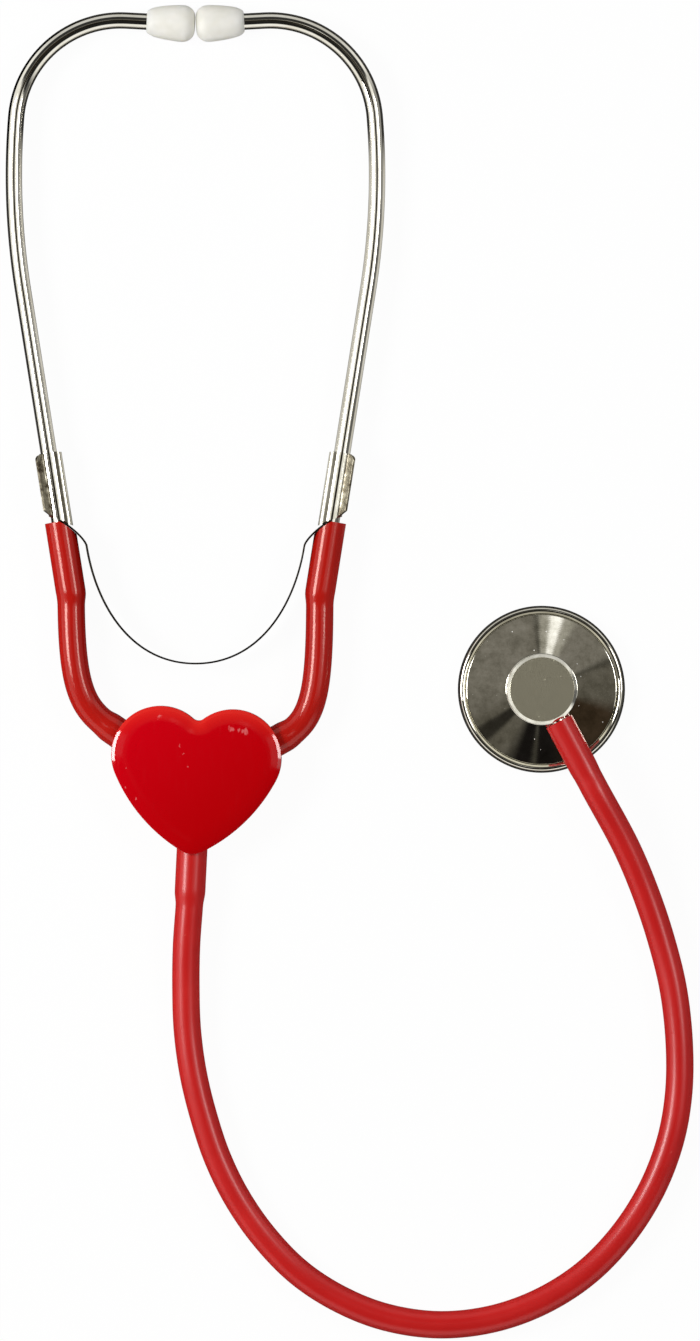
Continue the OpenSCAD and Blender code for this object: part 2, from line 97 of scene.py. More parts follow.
def smoothLine(points, spacing, steps=24):  # one smooth curve through the points
    p = np.asarray(points, float)
    p = np.concatenate([[2 * p[0] - p[1]], p, [2 * p[-1] - p[-2]]])
    gaps = np.linalg.norm(np.diff(p, axis=0), axis=1)
    knots = np.concatenate([[0], np.cumsum(np.sqrt(gaps))])
    found = []
    for i in range(1, len(p) - 2):
        k0, k1, k2, k3 = knots[i - 1:i + 3]
        for k in np.linspace(k1, k2, steps, endpoint=False):
            a1 = (k1 - k) / (k1 - k0) * p[i - 1] + (k - k0) / (k1 - k0) * p[i]
            a2 = (k2 - k) / (k2 - k1) * p[i] + (k - k1) / (k2 - k1) * p[i + 1]
            a3 = (k3 - k) / (k3 - k2) * p[i + 1] + (k - k2) / (k3 - k2) * p[i + 2]
            b1 = (k2 - k) / (k2 - k0) * a1 + (k - k0) / (k2 - k0) * a2
            b2 = (k3 - k) / (k3 - k1) * a2 + (k - k1) / (k3 - k1) * a3
            found.append((k2 - k) / (k2 - k1) * b1 + (k - k1) / (k2 - k1) * b2)
    found.append(p[-2])
    return evenLine(found, spacing)


def frameAlong(line):  # at each point: the way on, the way across and the way up
    way = np.gradient(np.asarray(line, float), axis=0)
    way /= np.linalg.norm(way, axis=1)[:, None]
    across = np.cross(way, upward)
    across /= np.linalg.norm(across, axis=1)[:, None]
    return way, across, np.cross(across, way)


# meshes

def spokes(across, up, sides):  # directions all round, from across towards up
    angles = np.arange(sides) * 2 * math.pi / sides
    return np.cos(angles)[:, None] * across + np.sin(angles)[:, None] * up


def roundLoops(line, radii, sides):
    way, across, up = frameAlong(line)
    rays = spokes(across[:, None], up[:, None], sides)
    return np.asarray(line)[:, None] + np.asarray(radii)[:, None, None] * rays


def latheLoops(profile, start, way, sides):  # profile points are (distance along the axis, radius)
    way = np.asarray(way, float) / np.linalg.norm(way)
    helper = upward if abs(way[2]) < 0.9 else ray(0)  # a way well off the axis
    across = np.cross(way, helper)
    across /= np.linalg.norm(across)
    rays = spokes(across, np.cross(across, way), sides)
    return np.array([np.asarray(start) + d * way + r * rays for d, r in profile])


def skin(loops, endless=False):  # faces between neighbouring loops, with the ends closed or joined
    count, sides = loops.shape[:2]
    faces = []
    for i in range(count if endless else count - 1):
        a, b = i * sides, (i + 1) % count * sides
        faces += [(a + j, b + j, b + (j + 1) % sides, a + (j + 1) % sides) for j in range(sides)]
    if not endless:
        faces.append(tuple(range(sides)))
        faces.append(tuple(range((count - 1) * sides, count * sides))[::-1])
    return loops.reshape(-1, 3), faces


def joined(meshes):
    starts = np.cumsum([0] + [len(points) for points, faces in meshes])
    moved = [tuple(int(start) + i for i in face)
             for start, (points, faces) in zip(starts, meshes) for face in faces]
    return np.concatenate([points for points, faces in meshes]), moved


def addPiece(name, mesh, material, body=None, stands=(), crease=40):
    points, faces = mesh
    data = bpy.data.meshes.new(name)
    data.from_pydata((points / 1000).tolist(), [], faces)
    sheet = bmesh.new()
    sheet.from_mesh(data)
    # points that a cut brought together become one
    bmesh.ops.remove_doubles(sheet, verts=sheet.verts, dist=1e-6)
    bmesh.ops.recalc_face_normals(sheet, faces=sheet.faces)
    sheet.to_mesh(data)
    sheet.free()
    data.materials.append(material)
    data.polygons.foreach_set("use_smooth", [True] * len(data.polygons))
    data.set_sharp_from_angle(angle=math.radians(crease))
    piece = bpy.data.objects.new(name, data)
    scene.collection.objects.link(piece)
    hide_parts(*stands)
    if body:
        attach(piece, body)
    return piece


# materials

mixFactor, mixBase, mixOver, mixed = 0, 6, 7, 2  # sockets of a Mix node set to colours


def linear(hexColour):  # sRGB hex to linear
    parts = [int(hexColour[i:i + 2], 16) / 255 for i in (1, 3, 5)]
    return (*[p / 12.92 if p <= 0.04045 else ((p + 0.055) / 1.055) ** 2.4 for p in parts], 1.0)


def cells(size):  # noise scale whose features are about this many millimetres
    return 1000.0 / size


def bands(size):  # wave scale whose bands repeat every so many millimetres
    return 314 / size  # at scale 1 a wave repeats every 314 mm


def join(tree, node, links):  # links are {socket: (node that feeds it, output)}
    for key, (source, output) in links.items():
        tree.links.new(source.outputs[output], node.inputs[key])


def addNode(tree, kind, values={}, links={}, stops=(), **settings):
    node = tree.nodes.new("ShaderNode" + kind)
    for key, value in settings.items():
        setattr(node, key, value)
    for key, value in values.items():
        node.inputs[key].default_value = value
    join(tree, node, links)
    if stops:  # a hex tone or a linear grey at each place
        band = node.color_ramp.elements
        while len(band) < len(stops):
            band.new(0.5)
        for element, (place, tone) in zip(band, stops):
            element.position = place
            element.color = linear(tone) if isinstance(tone, str) else (tone, tone, tone, 1)
    return node


def newMaterial(name, values):
    material = bpy.data.materials.new(name)
    material.use_nodes = True
    tree = material.node_tree
    surface = tree.nodes["Principled BSDF"]
    for key, value in values.items():
        surface.inputs[key].default_value = value
    place = addNode(tree, "TexCoord")
    return material, tree, surface, {"Vector": (place, "Object")}


def cloudedMaterial(name, values, noise, stops, haze=None, bump=None):  # one noise drives it all
    material, tree, surface, here = newMaterial(name, values)
    cloud = addNode(tree, "TexNoise", noise, here)
    links = {"Base Color": (addNode(tree, "ValToRGB", {}, {"Fac": (cloud, "Fac")}, stops), "Color")}
    if haze:
        links["Roughness"] = (addNode(tree, "MapRange", haze, {"Value": (cloud, "Fac")}), "Result")
    if bump:
        links["Normal"] = (addNode(tree, "Bump", bump, {"Height": (cloud, "Fac")}), "Normal")
    join(tree, surface, links)
    return material


# Extruded PVC hose: satin skin, soft broad gloss, faint cloudiness and a few pale scuffs.
hosePvc, tree, surface, here = newMaterial("extrudedPvc", {
    "IOR": 1.53, "Specular IOR Level": 0.38, "Subsurface Weight": 0.06,
    "Subsurface Radius": (0.0016, 0.0004, 0.0003), "Subsurface Scale": 1.0})
cloud = addNode(tree, "TexNoise", {"Scale": cells(18), "Detail": 3}, here)
skinTone = addNode(tree, "ValToRGB", {}, {"Fac": (cloud, "Fac")},
                   stops=[(0.3, "#c01513"), (0.55, "#c51816"), (0.75, "#cb1d1a")])
scuff = addNode(tree, "TexNoise", {"Scale": cells(1.1), "Detail": 2, "Distortion": 0.6}, here)
scuffMask = addNode(tree, "ValToRGB", {}, {"Fac": (scuff, "Fac")}, stops=[(0.74, 0.0), (0.8, 0.35)])
scuffTone = addNode(tree, "Mix", {mixOver: linear("#d9635c")},
                    {mixFactor: (scuffMask, "Color"), mixBase: (skinTone, "Color")},
                    data_type="RGBA")
peel = addNode(tree, "TexNoise", {"Scale": cells(0.9), "Detail": 2}, here)
skinBump = addNode(tree, "Bump", {"Strength": 0.05, "Distance": 0.0002}, {"Height": (peel, "Fac")})
polish = addNode(tree, "MapRange", {"To Min": 0.24, "To Max": 0.34}, {"Value": (cloud, "Fac")})
join(tree, surface, {"Base Color": (scuffTone, mixed), "Normal": (skinBump, "Normal"),
                     "Roughness": (polish, "Result")})

# The short hoses are stretched over their fittings, which draws the skin smoother and deeper.
stretchedPvc = hosePvc.copy()
stretchedPvc.name = "stretchedPvc"
copied = stretchedPvc.node_tree.nodes
copied[polish.name].inputs["To Min"].default_value = 0.13
copied[polish.name].inputs["To Max"].default_value = 0.18
copied[skinBump.name].inputs["Strength"].default_value = 0.012
deeper = ("#b01610", "#b51810", "#bc1c14")
for element, colour in zip(copied[skinTone.name].color_ramp.elements, deeper):
    element.color = linear(colour)
copied["Principled BSDF"].inputs["Specular Tint"].default_value = linear("#ffece2")

# Injection-moulded polystyrene: deep clear red with a few pale nicks. Its colour also holds painted
# shading: darker from the upper left to the lower right, painted light where it faces +Y and
# painted shade on the steep rim. The face is scuffed from handling and shows little gloss, the edge
# still has the shine of the mould.
heartFace, tree, surface, here = newMaterial("scuffedPolystyrene",
                                             {"IOR": 1.57, "Specular IOR Level": 0.16})
# painted shading: the red darkens from the upper left to the lower right
across = addNode(tree, "Mapping", {"Scale": (cells(60), cells(60), 1), "Rotation": (0, 0, 0.95),
                                   "Location": (0.5, 0.5, 0)}, here)
fade = addNode(tree, "TexGradient", {}, {"Vector": (across, "Vector")})
paintedShadedRed = addNode(tree, "ValToRGB", {}, {"Fac": (fade, "Fac")},
                  stops=[(0.1, "#ce0012"), (0.35, "#c4000d"), (0.6, "#b90008"), (0.95, "#ab0003")])
facing = addNode(tree, "NewGeometry")
tilt = addNode(tree, "SeparateXYZ", {}, {0: (facing, "Normal")})
# painted light: faces turned towards +Y are mixed towards a paler red
paintedUpperLight = addNode(tree, "ValToRGB", {}, {"Fac": (tilt, "Y")}, stops=[(0.05, 0.0), (0.24, 0.75)])
paintedUpperLitTone = addNode(tree, "Mix", {mixOver: linear("#ea2f26")},
                   {mixFactor: (paintedUpperLight, "Color"), mixBase: (paintedShadedRed, "Color")}, data_type="RGBA")
nicks = [(-4.1, 9.6, 0.55), (-3.2, 7.3, 0.5), (-1.9, 3.7, 0.6), (-19.3, 3.4, 0.4),
         (-19.6, -2.2, 0.4), (-16.5, -5, 0.45), (13.9, 13.7, 1.7), (12.3, 14.3, 0.9),
         (10.2, 14.4, 1.3), (-10, 17.7, 1.1)]  # x, y and size
chips = addNode(tree, "TexNoise", {"Scale": cells(1.2), "Detail": 3}, here)
shifted = addNode(tree, "VectorMath", {1: (0.002, 0.002, 0)},
                  {0: (chips, "Color"), 2: here["Vector"]}, operation="MULTIPLY_ADD")
flat = addNode(tree, "Mapping", {"Location": (-0.001, -0.001, 0), "Scale": (1, 1, 0)},
               {"Vector": (shifted, "Vector")})
worn = None
for x, y, size in nicks:
    away = addNode(tree, "VectorMath", {1: (x / 1000, y / 1000, 0)}, {0: (flat, "Vector")},
                   operation="DISTANCE")
    near = addNode(tree, "MapRange", {"From Max": size / 1000, "To Min": 1.0, "To Max": 0.0},
                   {"Value": (away, "Value")})
    worn = near if worn is None else addNode(tree, "Math", {}, {0: (worn, 0), 1: (near, 0)},
                                             operation="MAXIMUM")
lined = addNode(tree, "Mapping", {"Scale": (1, 0.4, 1), "Rotation": (0, 0, 0.9)}, here)
scrape = addNode(tree, "TexNoise", {"Scale": cells(0.5), "Detail": 2},
                 {"Vector": (lined, "Vector")})
ragged = addNode(tree, "Math", {1: 1.6}, {0: (scrape, "Fac"), 2: (worn, 0)},
                 operation="MULTIPLY_ADD")
nickMask = addNode(tree, "MapRange", {"From Min": 1.25, "From Max": 1.6, "To Max": 0.42},
                   {"Value": (ragged, "Value")})
nickTone = addNode(tree, "Mix", {mixOver: linear("#ee8d8d")},
                   {mixFactor: (nickMask, "Result"), mixBase: (paintedUpperLitTone, mixed)}, data_type="RGBA")
# painted shade: the steep rim is darkened, the more the further it turns from straight up
rim = addNode(tree, "ValToRGB", {}, {"Fac": (tilt, "Z")}, stops=[(0.25, 0.72), (0.88, 1.0)])
heartTone = addNode(tree, "Mix", {mixFactor: 1.0},
                    {mixBase: (nickTone, mixed), mixOver: (rim, "Color")},
                    data_type="RGBA", blend_type="MULTIPLY")
# hairline scratches, drawn wider than real ones to show
stretch = addNode(tree, "Mapping", {"Scale": (1, 0.06, 1), "Rotation": (0, 0, 0.6)}, here)
hairline = addNode(tree, "TexNoise", {"Scale": cells(0.45), "Detail": 3},
                   {"Vector": (stretch, "Vector")})
haze = addNode(tree, "ValToRGB", {}, {"Fac": (hairline, "Fac")}, stops=[(0.55, 0.1), (0.8, 0.25)])
join(tree, surface, {"Base Color": (heartTone, mixed), "Roughness": (haze, "Color")})
heartEdge = heartFace.copy()
heartEdge.name = "polishedPolystyrene"
surface = heartEdge.node_tree.nodes["Principled BSDF"]
heartEdge.node_tree.links.remove(surface.inputs["Roughness"].links[0])
surface.inputs["Roughness"].default_value = 0.07
surface.inputs["Specular IOR Level"].default_value = 0.5

# Moulded polythene: milky, light soaks in and shows the thick parts a little warmer.
tipPolythene, tree, surface, here = newMaterial("milkyPolythene", {
    "Roughness": 0.36, "Specular IOR Level": 0.2, "Subsurface Weight": 0.5,
    "Subsurface Radius": (0.0036, 0.0034, 0.0031), "Subsurface Scale": 1.0})
milk = addNode(tree, "TexNoise", {"Scale": cells(5), "Detail": 2}, here)
milkTone = addNode(tree, "ValToRGB", {}, {"Fac": (milk, "Fac")},
                   stops=[(0.3, "#e7e5db"), (0.7, "#f2f0e9")])
wax = addNode(tree, "TexNoise", {"Scale": cells(0.7), "Detail": 2}, here)
waxBump = addNode(tree, "Bump", {"Strength": 0.06, "Distance": 0.0002}, {"Height": (wax, "Fac")})
join(tree, surface, {"Base Color": (milkTone, "Color"), "Normal": (waxBump, "Normal")})

# Bright nickel plate on drawn tube: a mirror, clouded a little by handling.
tubeNickel = cloudedMaterial(
    "nickelPlatedTube", {"Metallic": 1.0}, {"Scale": cells(6), "Detail": 4},
    [(0.35, "#d6d2c4"), (0.7, "#e4e1d6")],
    haze={"From Min": 0.35, "From Max": 0.75, "To Min": 0.06, "To Max": 0.1})

# Plated spring sheet rolled round the tube: bright plate, a little wavy from the forming.
clipSheet = cloudedMaterial(
    "platedSheet", {"Metallic": 1.0}, {"Scale": cells(4), "Detail": 2},
    [(0.35, "#cdc9b9"), (0.7, "#e2dfd3")],
    haze={"From Min": 0.35, "From Max": 0.75, "To Min": 0.05, "To Max": 0.12},
    bump={"Strength": 0.15, "Distance": 0.00012})

# The same sheet where the pliers squeezed it: dull, dented, plate worn brown in places.
pinchedSheet = cloudedMaterial(
    "pinchedSheet", {"Metallic": 1.0}, {"Scale": cells(2.6), "Detail": 5, "Roughness": 0.6},
    [(0.36, "#3f3629"), (0.45, "#746d5d"), (0.56, "#8f8978"), (0.68, "#b9b4a4")],
    haze={"From Min": 0.3, "From Max": 0.7, "To Min": 0.5, "To Max": 0.34},
    bump={"Strength": 0.2, "Distance": 0.0002})

# Tempered strip steel: dark brown grey from the heat, rolled smooth, with faint clouds.
stripSteel = cloudedMaterial(
    "temperedStripSteel", {"Metallic": 1.0, "Roughness": 0.28}, {"Scale": cells(2.5), "Detail": 4},
    [(0.35, "#2b2924"), (0.65, "#403c33")])

# Moulded polypropylene of the hidden connector: plain, faintly waxy.
connectorPropylene = cloudedMaterial(
    "mouldedPolypropylene", {"Roughness": 0.45, "IOR": 1.49}, {"Scale": cells(1), "Detail": 2},
    [(0.3, "#d5d2c8"), (0.7, "#dedbd2")])
print("materials for hoses, heart and headset made")


# camera: straight down from far off, on a frame of 196 by 375.5 mm

view = {"centre": (43.26, 30.66), "distance": 3000, "tall": 375.48, "sensor": 36, "sight": 20000,
        "height": 5}  # the frame's size holds at this height over the table
cameraData = bpy.data.cameras.new("camera")
cameraData.sensor_width = view["sensor"]
cameraData.lens = view["sensor"] * view["distance"] / view["tall"]
cameraData.clip_end = view["sight"] / 1000
camera = bpy.data.objects.new("camera", cameraData)
camera.location = [v / 1000 for v in (*view["centre"], view["distance"] + view["height"])]
scene.collection.objects.link(camera)
scene.camera = camera


# main hose: from the heart round to the chestpiece

# ear tubes, heart and chestpiece come first, because the hoses are laid from their places
ear = {"diameter": 4.6, "straight": 86.5, "sweepRadius": 204, "sweepAngle": 13.6,
       "bendRadius": 29.3, "lean": 9, "footX": 34.8, "footY": 52, "droop": 3, "planeZ": 5.5,
       "sides": 48, "spacing": 1.2, "straightSteps": 60, "sweepSteps": 40, "bendSteps": 60,
       "topSteps": 12}
heart = {"turn": -2.8, "armsY": 1.7, "armAngle": 31.8, "armLength": 28.5, "mouth": 20,
         "outletLength": 29.5, "hoseStop": 11, "lobeRadius": 13.7, "lobeX": 10.1, "lobeY": 6.6,
         "pointRadius": 6, "pointY": 14.7, "flankRadius": 46, "notchRadius": 2.3,
         "notchSteps": 12, "lobeSteps": 64, "flankSteps": 24, "pointSteps": 14,
         "frontHeight": 7, "edgeWidth": 1.0, "edgeTilt": 20, "edgeRound": 0.2, "roundRows": 6,
         "edgeRows": (0.65, 0.35, 0.08, 0.0), "crownSlope": 12, "crownWidth": 4.4,
         "crownStart": 0.02, "crownRows": 22, "topScales": (0.8, 0.5, 0.2), "seam": 0.12,
         "stepHeight": 0.8, "stepWidth": 0.6, "stepSink": 0.02,
         # roundings of the back: how far up and how far in
         "footRound": [(0, 0.3), (0.09, 0.09), (0.3, 0)],
         "stepRound": [(0, 0.25), (0.08, 0.07), (0.25, 0)]}
chest = {"x": 96.9, "y": 25.4, "stemAngle": -62, "stemHeight": 11, "stemOut": 24, "stemMiddle": 17,
         "bossRadius": 9.8, "height": 15, "sides": 192}
hose = {"diameter": 7.7, "bore": 3.2, "boreSlack": 0.05, "neck": 4, "nippleDiameter": 5,
        "stemDiameter": 4, "stemDepth": 3, "endGap": 0.4, "sides": 40, "spacing": 1.2,
        # the rounded end: how far ahead and how far in, in lips
        "lip": 0.35, "lipRows": [(0.13, 0.4), (0.25, 1)]}
armsMeet = turned((0, -heart["armsY"], ear["planeZ"]), heart["turn"])
outletWay = ray(heart["turn"] - 90)
stemWay = ray(chest["stemAngle"])
stemCentre = np.array([chest["x"], chest["y"], chest["stemHeight"]])
freeRadius = hose["diameter"] / 2


def stretchedRadius(fitting):  # the wall keeps its section when a fitting opens the hose
    return math.sqrt(hose["diameter"] ** 2 - hose["bore"] ** 2 + fitting ** 2) / 2


def widening(fitting, past):  # what a fitting adds to the radius, eased out past its end
    return (stretchedRadius(fitting) - freeRadius) * (1 - ease(past / hose["neck"]))


def openEnd(loops, line, radii, inner, depth):  # rounds the last edge and turns it into the bore
    way, across, up = (v[-1] for v in frameAlong(line))
    rays = spokes(across, up, loops.shape[1])
    lip = hose["lip"]
    rows = [(ahead * lip, radii[-1] - drop * lip) for ahead, drop in hose["lipRows"]]
    rows += [(rows[-1][0], inner), (-depth, inner)]
    return np.concatenate([loops, [line[-1] + ahead * way + r * rays for ahead, r in rows]])


# x, y and how far the hose lies above the table
mainRoute = [(-2.5, -46, 1.1), (-2.7, -58, 0.4), (-2.3, -70, 0), (-0.7, -82, 0), (2.2, -94, 0),
             (6.2, -106, 0), (11.9, -117.5, 0), (19.5, -128.3, 0), (29, -138, 0), (40.2, -145.3, 0),
             (53, -150.4, 0), (68, -152.6, 0), (83, -151, 0), (97, -146, 0), (109.6, -137.9, 0),
             (120, -127, 0), (127.9, -114.4, 0), (133, -101, 0), (135.3, -88, 0), (135.5, -74, 0),
             (133.8, -58.5, 0), (130.2, -44, 0.3), (125.8, -31, 1.4), (120.5, -18.6, 3.6)]
outletStops = (heart["hoseStop"], heart["mouth"], heart["outletLength"],
               heart["outletLength"] + hose["neck"])
stemStops = (chest["stemOut"] + 2 * hose["neck"], chest["stemOut"] + hose["neck"], chest["stemOut"],
             chest["stemMiddle"], chest["bossRadius"] + hose["endGap"])
mainPoints = [armsMeet + d * outletWay for d in outletStops]
mainPoints += [np.array([x, y, lift + freeRadius]) for x, y, lift in mainRoute]
mainPoints += [stemCentre + d * stemWay for d in stemStops]
mainLine = smoothLine(mainPoints, hose["spacing"])
mainRun = lengthsAlong(mainLine)
pastOutlet = mainRun - (heart["outletLength"] - heart["hoseStop"])
pastStem = mainRun[-1] - mainRun - (chest["stemOut"] - chest["bossRadius"] - hose["endGap"])
mainRadii = (freeRadius + widening(hose["nippleDiameter"], pastOutlet)
             + widening(hose["stemDiameter"], pastStem))
mainLoops = openEnd(roundLoops(mainLine, mainRadii, hose["sides"]), mainLine, mainRadii,
                    hose["stemDiameter"] / 2 + hose["boreSlack"], hose["stemDepth"])
mainHose = addPiece("mainHose", skin(mainLoops), hosePvc, "heart", ["main_hose"])
print("main hose laid, %.1f mm long" % mainRun[-1])


# short hoses: heart to ear tubes

# clips and spring come first, because the hose ends are cut to the spring
shortHose = {"bowTop": 27, "bowLow": 9.7, "earDepth": 8, "earLead": 0.8, "spacing": 0.9,
             "bendFrom": 3, "bendTo": 1, "armSteps": 12, "bowSteps": 60, "earSteps": 14}
clip = {"at": 19.5, "length": 20.6, "step": 0.3, "slant": 2.9, "sheet": 0.4, "fit": 0.05,
        "slack": 0.02, "spine": 0.8, "spineRound": 1.3, "spineDrop": 0.55, "dropFrom": 1.6,
        "dropRun": 1.2, "spineBack": 4, "spineKeep": 0.12, "flangeReach": 5.3, "flangeLow": 4.8,
        "flangeCorner": 1.6, "flangeRoll": 45, "footReach": 3.7, "footPull": 3.1, "footSide": 2.95,
        "footLean": 11, "footAngle": 18, "sleeveAngle": 19, "flangeRows": (0.33, 0.66),
        # the rolled edge of the flange: reach, and half its thickness in sheets
        "fold": [(5.05, 1.0), (5.2, 0.94), (5.29, 0.7), (5.3, 0.42), (5.24, 0.12), (5.08, 0.0)],
        "cornerSteps": 9, "footSteps": 6, "upperSteps": 12, "lowerSteps": 22, "stations": 28,
        "crease": 45}
leaf = {"thickness": 0.5, "width": 6, "edge": 0.12, "edgeSteps": 4, "gap": 2.2, "shoulderRun": 6.8,
        "startIn": 0.2, "startUp": 20.85, "slope": 37.5, "startPull": 4.2, "flankPull": 1.5,
        "forkGap": 0.1, "forkEnd": 2.6, "bottomY": 32.6, "endPull": 0.5, "bottomPull": 0.6,
        "cutGap": 0.06, "shoulderSteps": 24, "flankSteps": 80, "spacing": 0.5}
earUp = ray(90 + ear["lean"])
earIn = ray(ear["lean"])
earFoot = np.array([-ear["footX"], ear["footY"], ear["planeZ"]])
flankTop = (earFoot + (clip["at"] - leaf["shoulderRun"]) * earUp
            + (stretchedRadius(ear["diameter"]) + leaf["gap"]) * earIn)
shoulderStart = earFoot + leaf["startUp"] * earUp + leaf["startIn"] * earIn
shoulderBend = shoulderStart + leaf["startPull"] * ray(ear["lean"] - leaf["slope"])
flankBend = flankTop + leaf["flankPull"] * earUp
shoulderLine = np.array(bezierLine([shoulderStart, shoulderBend, flankBend, flankTop],
                                   leaf["shoulderSteps"]))
# the hose end is cut to the spring's shoulder, which lies on its inner part
cutDepth = leaf["thickness"] / 2 + leaf["cutGap"]
cutLine = shoulderLine + cutDepth * frameAlong(shoulderLine)[1] - earFoot
hoseEnd = leaf["startUp"] - cutDepth


def armWay(side):
    fromMiddle = 90 - heart["armAngle"]
    return ray(heart["turn"] + 90 + (fromMiddle if side == "left" else -fromMiddle))


for side in bothSides:
    way = armWay(side)
    foot, up, inwards = (sided(v, side) for v in (earFoot, earUp, earIn))
    armEnd = armsMeet + heart["armLength"] * way
    armStops = np.linspace(heart["hoseStop"], heart["armLength"], shortHose["armSteps"],
                           endpoint=False)
    line = [armsMeet + d * way for d in armStops]
    bow = [armEnd, armEnd + shortHose["bowLow"] * way, foot - (0, shortHose["bowTop"], 0), foot]
    line += bezierLine(bow, shortHose["bowSteps"] + 1)[:-1]
    line += [foot + d * up for d in np.linspace(0, hoseEnd, shortHose["earSteps"])]
    line = evenLine(line, shortHose["spacing"])
    run = lengthsAlong(line)
    pastArm = run - (heart["armLength"] - heart["hoseStop"])
    pastEar = run[-1] - hoseEnd - run + shortHose["earLead"]
    radii = (freeRadius + widening(hose["nippleDiameter"], pastArm)
             + widening(ear["diameter"], pastEar))
    loops = openEnd(roundLoops(line, radii, hose["sides"]), line, radii,
                    ear["diameter"] / 2 + hose["boreSlack"], shortHose["earDepth"])
    cutHeight = np.interp((loops - foot) @ inwards, cutLine @ earIn, cutLine @ earUp)
    loops = loops - np.maximum((loops - foot) @ up - cutHeight, 0)[..., None] * up
    piece = addPiece(side + "ShortHose", skin(loops), stretchedPvc,
                     stands=[side + "_short_hose"])
    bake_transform(piece)
print("short hoses made")


# ear tubes: straight foot, long gentle sweep, tight bend and a short run into the tip

tip = {"length": 13.5, "gap": 0.3, "socket": 7.5, "sides": 64, "spacing": 0.35, "crease": 50,
       # points from the base on: distance and radius
       "socketEdge": [(3, 2.35), (0.1, 2.35)],
       "outside": [(0, 2.5), (0.06, 2.8), (0.3, 3.15), (0.9, 3.6), (1.7, 3.98), (2.8, 4.3),
                   (4.4, 4.6), (6.3, 4.86), (8.3, 5.07), (9.9, 5.15), (11.2, 4.97), (12.2, 4.46),
                   (12.9, 3.75), (13.32, 2.95), (13.5, 2.0)],
       "soundHole": [(13.5, 1.5), (13.42, 1.28), (13.1, 1.15), (6, 1.15)]}
fullTurn = 90 + ear["lean"] + ear["droop"]
topWay = ray(90 - fullTurn)
sweepCentre = np.array([ear["sweepRadius"], ear["straight"], 0])
bendCentre = sweepCentre + (ear["sweepRadius"] - ear["bendRadius"]) * ray(180 - ear["sweepAngle"])
bendEnd = bendCentre + ear["bendRadius"] * ray(180 - fullTurn)
straightStops = np.linspace(0, ear["straight"], ear["straightSteps"], endpoint=False)
earLine = [d * ray(90) for d in straightStops]
for centre, radius, start, end, steps in (
        (sweepCentre, ear["sweepRadius"], 0, ear["sweepAngle"], ear["sweepSteps"]),
        (bendCentre, ear["bendRadius"], ear["sweepAngle"], fullTurn, ear["bendSteps"])):
    turns = np.linspace(start, end, steps, endpoint=False)
    earLine += [centre + radius * ray(180 - a) for a in turns]
tipWay = turned(topWay, ear["lean"])
bendTop = earFoot + turned(bendEnd, ear["lean"])
topBare = (-bendTop[0] - tip["gap"] / 2) / tipWay[0] - tip["length"]
earLine += [bendEnd + d * topWay for d in np.linspace(0, topBare + tip["socket"], ear["topSteps"])]
earLine = evenLine([earFoot + turned(p, ear["lean"]) for p in earLine], ear["spacing"])
tubeRadii = np.full(len(earLine), ear["diameter"] / 2)
for side in bothSides:
    loops = roundLoops(sided(earLine, side), tubeRadii, ear["sides"])
    addPiece(side + "EarTube", skin(loops), tubeNickel, side + "_ear", [side + "_ear_tube"])


# ear tips: pear-shaped, pushed over the tube, with a sound hole in the nose

tipOutside = smoothLine([(d, r, 0) for d, r in tip["outside"]], tip["spacing"])[:, :2].tolist()
tipProfile = tip["socketEdge"] + tipOutside + tip["soundHole"]
tipBase = bendTop + topBare * tipWay
for side in bothSides:
    loops = latheLoops(tipProfile, sided(tipBase, side), sided(tipWay, side), tip["sides"])
    addPiece(side + "EarTip", skin(loops), tipPolythene, side + "_tip", [side + "_ear_tip"],
             crease=tip["crease"])
print("ear tubes and tips made")


# clips: sheet wrapped round the tube, pinched into a flange, with a spine along the inner side

sleeveRadius = ear["diameter"] / 2 + clip["fit"] + clip["sheet"]
spineReach = sleeveRadius + clip["spine"]


def clipOutline(out, aside, turn):  # points are (inwards, up), round from the spine over the top
    spineHalf = ear["diameter"] / 2
    spineTurn = math.degrees(math.asin(spineHalf / sleeveRadius)) + clip["spineBack"]

    def arc(start, end, count):
        return [sleeveRadius * ray(a)[:2] for a in np.linspace(start, end, count)]

    def flange(sign):  # one side, from the sleeve's round out to the middle of the rolled edge
        half = sign * clip["sheet"] * aside
        points = bezierLine([sleeveRadius * ray(turn - sign * clip["footAngle"])[:2],
                             clip["footSide"] * ray(turn - sign * clip["footLean"])[:2],
                             clip["footPull"] * out + half, clip["footReach"] * out + half],
                            clip["footSteps"])
        run = clip["fold"][0][0] - clip["footReach"]
        points += [(clip["footReach"] + s * run) * out + half for s in clip["flangeRows"]]
        return points + [reach * out + share * half for reach, share in clip["fold"]]

    rounding = clip["spineRound"]
    middle = np.array([spineReach - rounding, spineHalf - rounding])
    corner = [middle + rounding * ray(a)[:2] for a in np.linspace(0, 90, clip["cornerSteps"])]
    upper = arc(spineTurn, turn - clip["sleeveAngle"], clip["upperSteps"])
    keep = clip["spineKeep"]
    kept = keep * corner[-1] + (1 - keep) * upper[0]  # keeps the shading of the spine's top flat
    outline = corner + [kept] + upper + flange(1) + flange(-1)[-2::-1]
    outline += arc(turn + clip["sleeveAngle"], 360 - spineTurn, clip["lowerSteps"])
    return np.array(outline + [p * (1, -1) for p in [kept] + corner[::-1]])


def lowEnd(section):  # the slanted end, drawn down to the spring along the inner side
    slope = clip["slant"] / (sleeveRadius + spineReach)
    drop = clip["spineDrop"] * ease((section[:, 0] - clip["dropFrom"]) / clip["dropRun"])
    return (spineReach - section[:, 0]) * slope - drop


